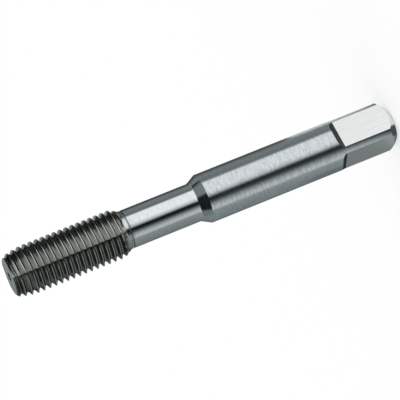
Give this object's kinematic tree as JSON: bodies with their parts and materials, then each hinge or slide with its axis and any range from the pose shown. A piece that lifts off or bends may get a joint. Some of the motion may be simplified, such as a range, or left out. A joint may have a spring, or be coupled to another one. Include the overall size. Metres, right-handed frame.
{
  "type": "thread tap",
  "caption": "One-piece steel machine tap: lobed right-hand threaded end with tapered lead, slim neck, cone, round shank and milled driving square.",
  "frame": {"origin": "centre of the flat face at the driven end, on the tap's axis", "axes": "+Z along the axis from the driven end to the threaded tip; +X and +Y square to two flats of the driving square"},
  "size_m": [0.0101, 0.01, 0.082],
  "materials": {
    "high_speed_steel": "ground bright on neck, shank and square, darker on the thread flanks"
  },
  "bodies": {
    "root": {"tap": "high_speed_steel"}
  },
  "joints": []
}
